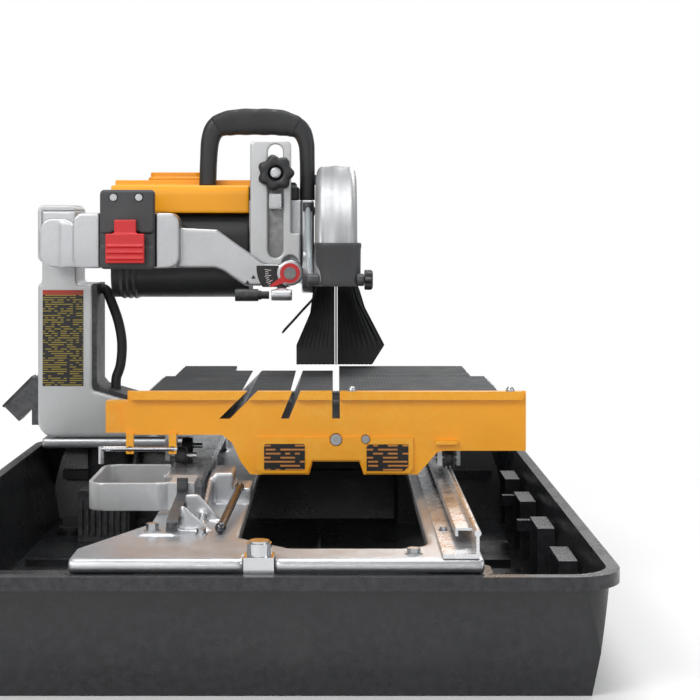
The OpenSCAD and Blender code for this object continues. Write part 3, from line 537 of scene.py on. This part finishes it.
# ---- blade guard: a domed shell with a centre ridge ----
def build_guard():
    low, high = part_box("blade_guard")
    cy = (low[1] + high[1]) / 2
    # the box also holds the left stub, so the shell's own left face lies a little inside
    left, right = low[0] + 0.0011, high[0]
    radius = (high[1] - low[1]) / 2
    cz = high[2] - radius
    mid = (left + right) / 2
    half = (right - left) / 2
    section = []
    count = 30
    for i in range(count + 1):
        u = -1 + 2 * i / count
        x = mid + half * math.copysign(min(1.0, abs(u) ** 0.86), u)
        edge = max(0.0, (abs(u) - 0.62) / 0.38)
        drop = 0.0155 * (1 - math.sqrt(max(0.0, 1 - edge ** 2.2)))
        ridge = 0.0013 * math.exp(-((x - mid) / 0.0070) ** 2)
        groove = 0.0004 * math.exp(-((abs(x - mid) - 0.0150) / 0.0010) ** 2)
        section.append((x, radius - 0.0022 - drop + ridge - groove))
    inner = [(x + (0.0022 if x < mid else -0.0022) * (1 if i in (0, count) else 0.6), r - 0.0024)
             for i, (x, r) in enumerate(section)]
    inner[0] = (left + 0.0022, inner[0][1])
    inner[-1] = (right - 0.0022, inner[-1][1])
    wall = [(left, 0.112), *section, (right, 0.112), (right - 0.0022, 0.112), *inner[::-1],
            (left + 0.0022, 0.112)]
    steps = 96
    rings = []
    start, stop = -math.radians(1.7), math.pi + math.radians(1.7)
    for s in range(steps + 1):
        a = start + (stop - start) * s / steps
        rings.append([(x, cy - r * math.cos(a), cz + r * math.sin(a)) for x, r in wall])
    shell = loft("guard_shell", rings)
    adopt(shell, "blade_guard", material=FINISH["guard_metal"].material)
    # side cheeks close the space inside the arc
    bm = bmesh.new()
    for x, out in ((left, -1), (right, 1)):
        for face_x, r_hole in ((x, 0.0245), (x - out * 0.0022, 0.0245)):
            outer_ring, inner_ring = [], []
            n = 72
            for i in range(n + 1):
                a = start + (stop - start) * i / n
                c, s = math.cos(a), math.sin(a)
                outer_ring.append(bm.verts.new((face_x, cy - 0.1135 * c, cz + 0.1135 * s)))
                inner_ring.append(bm.verts.new((face_x, cy - r_hole * c, cz + 0.012 + r_hole * s)))
            for i in range(n):
                bm.faces.new((outer_ring[i], outer_ring[i + 1], inner_ring[i + 1], inner_ring[i]))
    extra(from_bmesh("guard_cheeks", bm), "saw_head", "cast_aluminium", FINISH["guard_metal"].material)
    # domed rivets on both cheeks, sunk a little deeper on the right one
    bm = bmesh.new()
    for angle in (28, 62, 96, 130, 156):
        a = math.radians(angle)
        for x in (left + 0.0003, right - 0.0012):
            place = Matrix.Translation((x, cy - 0.100 * math.cos(a), cz + 0.100 * math.sin(a)))
            bmesh.ops.create_uvsphere(bm, u_segments=20, v_segments=10, radius=0.0034,
                                      matrix=place @ Matrix.Diagonal((0.35, 1, 1, 1)))
    rivets = from_bmesh("guard_rivets", bm)
    smooth(rivets)
    extra(rivets, "saw_head", "machined_steel")
    # stub that reaches across to the handle
    link_low, link_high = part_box("carry_handle")
    link_y = (link_low[1] + link_high[1]) / 2
    stub = []
    for x, grow in ((link_high[0] - 0.002, 1.0), (left + 0.001, 1.0), (left + 0.004, 1.0),
                    (left + 0.0065, 0.8)):
        stub.append(rounded_ring((x, link_y, cz + 0.1325), (0, 1, 0), (0, 0, 1), 0.0085 * grow,
                                 0.0068 * grow))
    extra(loft("guard_stub", stub), "saw_head", "black_plastic")


build_guard()


# ---- splash flap: two ribbed rubber sheets on either side of the blade ----
def build_flap():
    low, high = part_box("splash_flap")
    y = (low[1] + high[1]) / 2
    thick = (high[1] - low[1]) / 2
    slit = (0.0790, 0.0830)
    # outline width at each height, from the roots down
    left_edge = [(high[2], 0.054), (0.323, 0.050), (0.292, 0.046), (0.249, 0.0275), (0.2228, 0.0275)]
    right_edge = [(high[2], 0.108), (0.323, 0.113), (0.300, 0.120), (0.249, 0.1465), (0.2228, 0.130)]

    def at(edge, z):
        for (z0, x0), (z1, x1) in zip(edge, edge[1:]):
            if z1 <= z <= z0:
                return x0 + (x1 - x0) * (z0 - z) / (z0 - z1)
        return edge[-1][1]

    rows, columns, fan = 46, 52, 9
    for name in ("flap_left", "flap_right"):
        sheets = []
        for face in (-1, 1):
            grid = []
            for j in range(rows + 1):
                f = j / rows
                z = high[2] + (low[2] - high[2]) * f
                xa, xb = (at(left_edge, z), slit[0]) if name == "flap_left" else (slit[1], at(right_edge, z))
                row = []
                for i in range(columns + 1):
                    u = i / columns
                    x = xa + (xb - xa) * u
                    rib = 0.5 + 0.5 * math.cos(2 * math.pi * u * fan)
                    rib = max(0.0, rib - 0.25) / 0.75 if f > 0.12 else 0.25
                    if z < 0.2475 - 0.003 * math.cos(2 * math.pi * u * fan):
                        rib = 0.12
                    curl = 0.0011 * math.sin(math.pi * f) * math.cos(math.pi * (u - 0.5))
                    half = 0.0007 + 0.00075 * rib
                    shift = max(-thick + half, min(thick - half, curl - 0.0004 * face))
                    z_low = z + (0.0010 * (0.5 - abs(math.sin(math.pi * fan * u))) if j == rows else 0.0)
                    row.append((x, y + shift + face * half, max(low[2], z_low)))
                grid.append(row)
            sheets.append(grid)
        obj = two_faced(name, sheets)
        if name == "flap_left":
            adopt(obj, "splash_flap")
        else:
            extra(obj, "saw_head", "rubber")
        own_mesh(obj)


build_flap()


# ---- side wings: rubber petals that spread on both sides of the flap ----
def build_wings():
    low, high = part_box("side_wings")
    y0, y1 = low[1], high[1]
    routes = {
        "wing_left": [(0.0555, 0.334), (0.0535, 0.322), (0.0490, 0.311), (0.036, 0.2965), (0.0225, 0.2815),
                      (0.0095, 0.2675)],
        "wing_right": [(0.1055, 0.334), (0.1075, 0.321), (0.1120, 0.309), (0.1200, 0.292), (0.1285, 0.275),
                       (0.1368, 0.2580)],
    }
    for name, route in routes.items():
        pts = resample([list(p) for p in route], 40)
        columns = 30
        # the left wing stays flatter, because the head lifts it past the bracket
        side, twist = (-1, 0.0115) if name == "wing_right" else (1, 0.0030)
        grids = []
        for face in (-1, 1):
            grid = []
            for k, (x, z) in enumerate(pts):
                a, b = pts[max(k - 1, 0)], pts[min(k + 1, len(pts) - 1)]
                d = math.hypot(b[0] - a[0], b[1] - a[1])
                nx, nz = -(b[1] - a[1]) / d, (b[0] - a[0]) / d
                f = k / (len(pts) - 1)
                row = []
                for i in range(columns + 1):
                    u = i / columns
                    rib = max(0.0, math.cos(2 * math.pi * u * 7) - 0.2) if f > 0.15 else 0.0
                    half = 0.0008 + 0.0005 * rib
                    inset = 0.004 * f * f
                    # the left wing is notched at the front, where the raised head carries it
                    # past the bracket
                    front = inset if side < 0 else 0.0112 * min(1.0, f / 0.5)
                    yy = y0 + front + (y1 - y0 - front - inset) * u
                    lean = twist * u * min(1.0, f * 1.6)
                    px = x + nx * half * face + side * lean * 0.55
                    pz = z + nz * half * face + lean * 0.75
                    row.append((min(max(px, low[0]), high[0]), yy, max(low[2], pz)))
                grid.append(row)
            grids.append(grid)
        obj = two_faced(name, grids)
        if name == "wing_left":
            adopt(obj, "side_wings")
        else:
            extra(obj, "saw_head", "rubber")
        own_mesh(obj)


build_wings()


# ---- front collar of the guard, with its bosses and spindle ----
def build_collar():
    low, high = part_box("guard_collar")
    left, right = 0.0540, 0.1130
    mid, half = (left + right) / 2, (right - left) / 2
    front, back = low[1] + 0.0004, low[1] + 0.0235
    rings = []
    levels = [(low[2], 0.955), (low[2] + 0.002, 0.985), (low[2] + 0.008, 0.965), (low[2] + 0.046, 0.975),
              (low[2] + 0.0485, 0.995), (high[2] - 0.0035, 1.0), (high[2] - 0.001, 0.985), (high[2], 0.96)]
    for face, shrink in ((1, 0.0), (-1, 0.0028)):
        for z, size in (levels if face > 0 else levels[::-1]):
            ring = []
            for i in range(41):
                a = math.pi * i / 40
                c, s = math.cos(a), math.sin(a)
                u = math.copysign(abs(c) ** 0.62, c)
                v = abs(s) ** 0.62
                ring.append((mid - (half * size - shrink) * u, back - (back - front - shrink) * v * size, z))
            rings.append(ring)
    rings.append(rings[0])
    adopt(loft("collar_shell", rings, closed_u=False, caps=False), "guard_collar")
    bm = bmesh.new()
    turns = [2 * math.pi * i / 32 for i in range(32)]
    for x0, x1, r in ((low[0], left + 0.006, 0.0078), (right - 0.006, 0.1160, 0.0078),
                      (0.1155, high[0], 0.0039)):
        rows = []
        for x, k in ((x0, 0.86), (x0 + 0.001, 1.0), (x1 - 0.001, 1.0), (x1, 0.86)):
            rows.append([bm.verts.new((x, SPINDLE_Y + r * k * math.cos(a), SPINDLE_Z + r * k * math.sin(a)))
                         for a in turns])
        for a, b in zip(rows, rows[1:]):
            for i in range(32):
                j = (i + 1) % 32
                bm.faces.new((a[i], a[j], b[j], b[i]))
        bm.faces.new(rows[0][::-1])
        bm.faces.new(rows[-1])
    bosses = from_bmesh("collar_bosses", bm)
    smooth(bosses)
    even = bosses.modifiers.new("even", "WEIGHTED_NORMAL")
    even.keep_sharp = True
    extra(bosses, "saw_head", "grey_plastic")


build_collar()


# ---- knobs: lobed mouldings with a dished hub and a bolt ----
def build_knob(name, node, axis, lobes, depth_share, bolt=True):
    low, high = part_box(node)
    mid = [(a + b) / 2 for a, b in zip(low, high)]
    other = [k for k in range(3) if k != axis]
    outer = min(high[k] - low[k] for k in other) / 2 * 0.985
    back, front = (high[axis], low[axis]) if axis == 1 else (low[axis], high[axis])
    length = abs(front - back)
    toward = 1 if front > back else -1
    profile = [(0.0, 0.90), (0.05, 0.97), (0.14, 1.0), (0.72, 1.0), (0.86, 0.96), (0.95, 0.87), (1.0, 0.76),
               (1.0, 0.46), (0.96, 0.42), (1 - depth_share, 0.40), (1 - depth_share, 0.20)]
    count = lobes * 18
    rings = []
    for depth, size in profile:
        ring = []
        for i in range(count):
            a = 2 * math.pi * i / count
            lobe = 0.5 + 0.5 * math.cos(lobes * a)
            waist = 1 - 0.17 * (1 - lobe ** 0.8) if size > 0.5 else 1.0
            r = outer * size * waist
            p = list(mid)
            p[axis] = back + toward * depth * length
            p[other[0]] = mid[other[0]] + r * math.cos(a)
            p[other[1]] = mid[other[1]] + r * math.sin(a)
            ring.append(tuple(p))
        rings.append(ring)
    adopt(loft(name, rings), node)
    if bolt:
        head = []
        base = 1 - depth_share
        for depth, size in ((base, 0.30), (base + 0.22, 0.30), (base + 0.28, 0.26), (base + 0.28, 0.14),
                            (base + 0.12, 0.13)):
            ring = []
            for i in range(36):
                a = 2 * math.pi * i / 36
                p = list(mid)
                p[axis] = back + toward * min(depth, 0.99) * length
                p[other[0]] = mid[other[0]] + outer * size * math.cos(a)
                p[other[1]] = mid[other[1]] + outer * size * math.sin(a)
                ring.append(tuple(p))
            head.append(ring)
        extra(loft(name + "_bolt", head), BODY_OF[node], "machined_steel")


build_knob("clamp_knob", "depth_knob", 1, 7, 0.30)
build_knob("water_knob_grip", "nozzle_knob", 0, 8, 0.35)


# ---- hoses and the cable ----
def build_tubes():
    # radius, length, stiffness, lay, and the route that the CAD draws, held at both ends
    routes = {
        "power_cable": (0.0068, 0.1572, "medium", "hanging",
                        [(-0.2488, 0.390, 0.322), (-0.2364, 0.390, 0.322), (-0.229, 0.390, 0.306),
                         (-0.219, 0.390, 0.278), (-0.214, 0.390, 0.248), (-0.216, 0.390, 0.218),
                         (-0.222, 0.390, 0.200), (-0.222, 0.390, 0.1826)]),
        "supply_hose": (0.0048, 0.0993, "medium", "taut",
                        [(-0.194, 0.3225, 0.060), (-0.194, 0.350, 0.062), (-0.194, 0.372, 0.074),
                         (-0.194, 0.384, 0.092), (-0.194, 0.385, 0.1164)]),
        "nozzle_hose": (0.0039, 0.1484, "medium", "taut",
                        [(0.044, 0.302, 0.440), (0.044, 0.288, 0.410), (0.046, 0.262, 0.370),
                         (0.048, 0.225, 0.352), (0.050, 0.200, 0.346)]),
    }
    for name, (radius, length, stiffness, lay, route) in routes.items():
        points = resample([list(p) for p in route], 26)
        obj = adopt(tube_curve(name + "_run", points, radius), name)
    # clip that holds the feed hose to the housing
    clip = []
    for s, grow in ((-0.006, 0.86), (-0.0052, 1.0), (0.0052, 1.0), (0.006, 0.86)):
        clip.append(rounded_ring((0.0437, 0.3030, 0.435 + s), (1, 0, 0), (0, 1, 0), 0.0064 * grow,
                                 0.0075 * grow))
    extra(loft("hose_clip", clip), "saw_head", "black_plastic")


build_tubes()


# ---- printed plates ----
def plate_detail():
    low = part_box("bevel_scale")[0]
    width, margin = 0.0004, 0.0005
    bm = bmesh.new()
    for degrees in range(0, 46, 5):
        a = math.radians(217 - degrees)
        long_mark = degrees % 15 == 0
        r0, r1 = (0.0250, 0.0335) if long_mark else (0.0285, 0.0325)
        dx, dz = math.cos(a), math.sin(a)
        corners = []
        for r, side in ((r0, -width), (r1, -width), (r1, width), (r0, width)):
            corners.append((BEVEL_PIVOT_X + dx * r - dz * side, low[1] + 0.00055,
                            BEVEL_PIVOT_Z + dz * r + dx * side))
        if min(c[2] for c in corners) < low[2] + margin or min(c[0] for c in corners) < low[0] + margin:
            continue
        front = [bm.verts.new(c) for c in corners]
        rear = [bm.verts.new((c[0], c[1] + 0.0003, c[2])) for c in corners]
        bm.faces.new(front)
        bm.faces.new(rear[::-1])
        for i in range(4):
            j = (i + 1) % 4
            bm.faces.new((front[i], rear[i], rear[j], front[j]))
    extra(from_bmesh("scale_marks", bm), "frame", "label", FINISH["white_print"].material)


plate_detail()


# ---- everything else keeps its CAD shape, with eased edges ----
EASE = {"water_pan": 0.0012, "cart_table": 0.0010, "fascia": 0.0014, "table_pads": 0.0006,
        "column_label": 0.0002, "fascia_labels": 0.0002, "bevel_scale": 0.0002, "blade": 0.0002}
for name, node in NODES.items():
    if node.hide_render:
        continue
    for polygon in node.data.polygons:
        polygon.use_smooth = True
    ease = node.modifiers.new("ease", "BEVEL")
    ease.width = EASE.get(name, 0.0005)
    ease.segments = 2
    ease.limit_method = "ANGLE"
    ease.angle_limit = math.radians(32)
    ease.harden_normals = True
    even = node.modifiers.new("even", "WEIGHTED_NORMAL")
    even.keep_sharp = True
    node.data.materials.clear()
    node.data.materials.append(finish_of(name))


# ---- a dark sheet under the deck, for looks alone: painted shade that makes the slots read dark; the saw has no such piece ----
def build_painted_shade():
    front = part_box("cart_table")[0][1] + 0.004
    rear = 0.250
    size = (0.164, rear - front, 0.0010)
    place = Matrix.Translation((0.020, (rear + front) / 2, 0.1925))
    bm = bmesh.new()
    bmesh.ops.create_cube(bm, size=1.0, matrix=place @ Matrix.Diagonal((*size, 1)))
    # the black sheet is painted shade, seen through the deck's slots
    extra(from_bmesh("slot_painted_shade", bm), "cart", "black_plastic")


build_painted_shade()


# ---- studio: a pale floor that turns plain white away from the saw ----
def build_floor():
    bm = bmesh.new()
    bmesh.ops.create_grid(bm, x_segments=1, y_segments=1, size=9.0)
    floor = from_bmesh("floor", bm)
    floor.location = (0, 0, -0.0004)
    m = Nodes("floor")
    m.set(Roughness=0.62)
    tone = m.mix(m.ramp(m.noise(0.9), 0.3, 0.7), (0.86, 0.86, 0.86), (0.89, 0.89, 0.89))
    m.link(tone, m.bsdf.inputs["Base Color"])
    distance = m.make("ShaderNodeVectorMath", operation="LENGTH")
    m.link(m.make("ShaderNodeNewGeometry").outputs["Position"], distance.inputs[0])
    far = m.make("ShaderNodeMapRange", interpolation_type="SMOOTHSTEP")
    far.inputs["From Min"].default_value = 0.42
    far.inputs["From Max"].default_value = 1.05
    m.link(distance.outputs["Value"], far.inputs["Value"])
    seen = m.make("ShaderNodeLightPath").outputs["Is Camera Ray"]
    blend = m.make("ShaderNodeMixShader")
    m.link(m.math("MULTIPLY", far.outputs["Result"], seen), blend.inputs["Fac"])
    m.link(m.bsdf.outputs["BSDF"], blend.inputs[1])
    m.link(m.make("ShaderNodeEmission").outputs["Emission"], blend.inputs[2])
    sink = next(n for n in m.tree.nodes if n.type == "OUTPUT_MATERIAL")
    m.link(blend.outputs["Shader"], sink.inputs["Surface"])
    floor.data.materials.append(m.material)


build_floor()


def area(name, location, target, size, power, color=(1, 1, 1)):
    data = bpy.data.lights.new(name, "AREA")
    data.shape = "RECTANGLE"
    data.size, data.size_y = size
    data.energy = power
    data.color = color
    lamp = link(bpy.data.objects.new(name, data))
    lamp.location = location
    lamp.rotation_euler = (Vector(target) - Vector(location)).to_track_quat("-Z", "Y").to_euler()
    return lamp


area("key", (-1.3, -1.7, 1.9), (0, 0, 0.2), (1.3, 0.9), 30, (1.0, 0.985, 0.965))
area("fill", (1.9, -1.2, 1.1), (0, 0, 0.25), (0.9, 1.3), 9, (0.96, 0.98, 1.0))
area("top", (0.1, 0.2, 2.3), (0, 0.05, 0.2), (1.1, 1.1), 24)
area("rim", (0.9, 2.1, 1.5), (0, 0.1, 0.3), (1.4, 0.5), 16)
area("front_strip", (-0.5, -2.6, 0.95), (0, 0, 0.25), (1.6, 0.3), 7)

# the backdrop is white to the camera, and dimmer as a light
world = bpy.data.worlds.new("studio")
world.use_nodes = True
background = world.node_tree.nodes["Background"]
background.inputs["Color"].default_value = (1.0, 1.0, 1.0, 1.0)
ray = world.node_tree.nodes.new("ShaderNodeLightPath")
level = world.node_tree.nodes.new("ShaderNodeMapRange")
level.inputs["To Min"].default_value = 0.42
level.inputs["To Max"].default_value = 1.0
world.node_tree.links.new(ray.outputs["Is Camera Ray"], level.inputs["Value"])
world.node_tree.links.new(level.outputs["Result"], background.inputs["Strength"])
bpy.context.scene.world = world
bpy.context.scene.view_settings.view_transform = "Standard"
